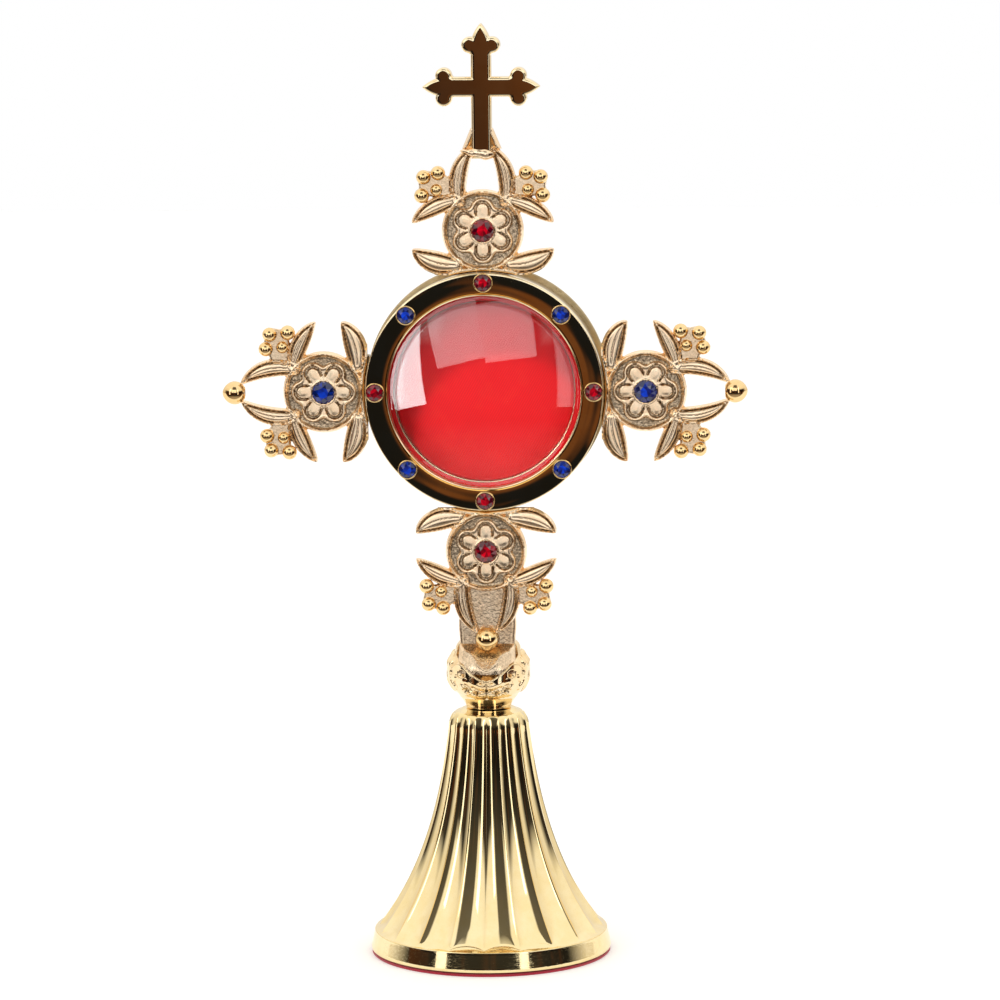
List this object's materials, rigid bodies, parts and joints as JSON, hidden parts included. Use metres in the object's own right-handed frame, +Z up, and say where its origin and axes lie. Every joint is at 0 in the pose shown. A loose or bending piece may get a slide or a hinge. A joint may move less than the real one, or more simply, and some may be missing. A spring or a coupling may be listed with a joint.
{
  "type": "monstrance",
  "caption": "Small gilt monstrance: a fluted bell foot and scrolled knop carry a cross-shaped head with a round glazed case lined in red and a hinged back door.",
  "frame": {"origin": "centre of the foot's underside", "axes": "+Z up, -Y towards the viewer of the glazed front, +X to that viewer's right"},
  "size_m": [0.1118, 0.052, 0.2],
  "materials": {
    "gilt_polished": "polished gilt",
    "gilt_mirror": "mirror-polished gilt",
    "gilt_cast": "pale gilt casting with sand texture",
    "gilt_brushed": "brushed gilt",
    "tie_steel": "plain steel",
    "clear_glass": "clear domed glass",
    "ruby_glass": "faceted red glass",
    "sapphire_glass": "faceted blue glass",
    "red_satin": "red satin",
    "red_felt": "red felt",
    "fibreboard": "raw fibreboard"
  },
  "bodies": {
    "monstrance": {"base_shell": "gilt_polished", "base_board": "fibreboard", "base_felt": "red_felt", "tie_stud": "tie_steel", "tie_washer": "tie_steel", "tie_nut": "tie_steel", "stem_knop": "gilt_cast", "front_ring": "gilt_mirror", "crystal_bezel": "gilt_polished", "crystal": "clear_glass", "arm_top": "gilt_cast", "arm_bottom": "gilt_cast", "arm_left": "gilt_cast", "arm_right": "gilt_cast", "finial_cross": "gilt_mirror", "ring_stone_1": "ruby_glass", "ring_stone_2": "sapphire_glass", "ring_stone_3": "ruby_glass", "ring_stone_4": "sapphire_glass", "ring_stone_5": "ruby_glass", "ring_stone_6": "sapphire_glass", "ring_stone_7": "ruby_glass", "ring_stone_8": "sapphire_glass", "flower_stone_top": "ruby_glass", "flower_stone_bottom": "ruby_glass", "flower_stone_left": "sapphire_glass", "flower_stone_right": "sapphire_glass", "case_cup": "gilt_brushed", "case_lining": "red_satin", "case_hinge_leaf": "gilt_brushed", "hinge_pin": "gilt_polished", "latch_post": "gilt_brushed", "latch_screw": "tie_steel"},
    "door": {"back_door": "gilt_brushed", "door_hinge_leaf": "gilt_brushed", "pad_board": "fibreboard", "display_pad": "red_satin", "door_knob": "gilt_polished"},
    "latch": {"latch_button": "gilt_polished"}
  },
  "joints": [
    {"name": "door_hinge", "type": "hinge", "parent": "monstrance", "child": "door", "pos_m": [-0.0274, 0.0094, 0.122], "axis": [0, 0, 1], "range_deg": [0, 110]},
    {"name": "latch_turn", "type": "hinge", "parent": "monstrance", "child": "latch", "pos_m": [0.0286, 0.0104, 0.122], "axis": [0, -1, 0], "range_deg": [0, 90]}
  ]
}
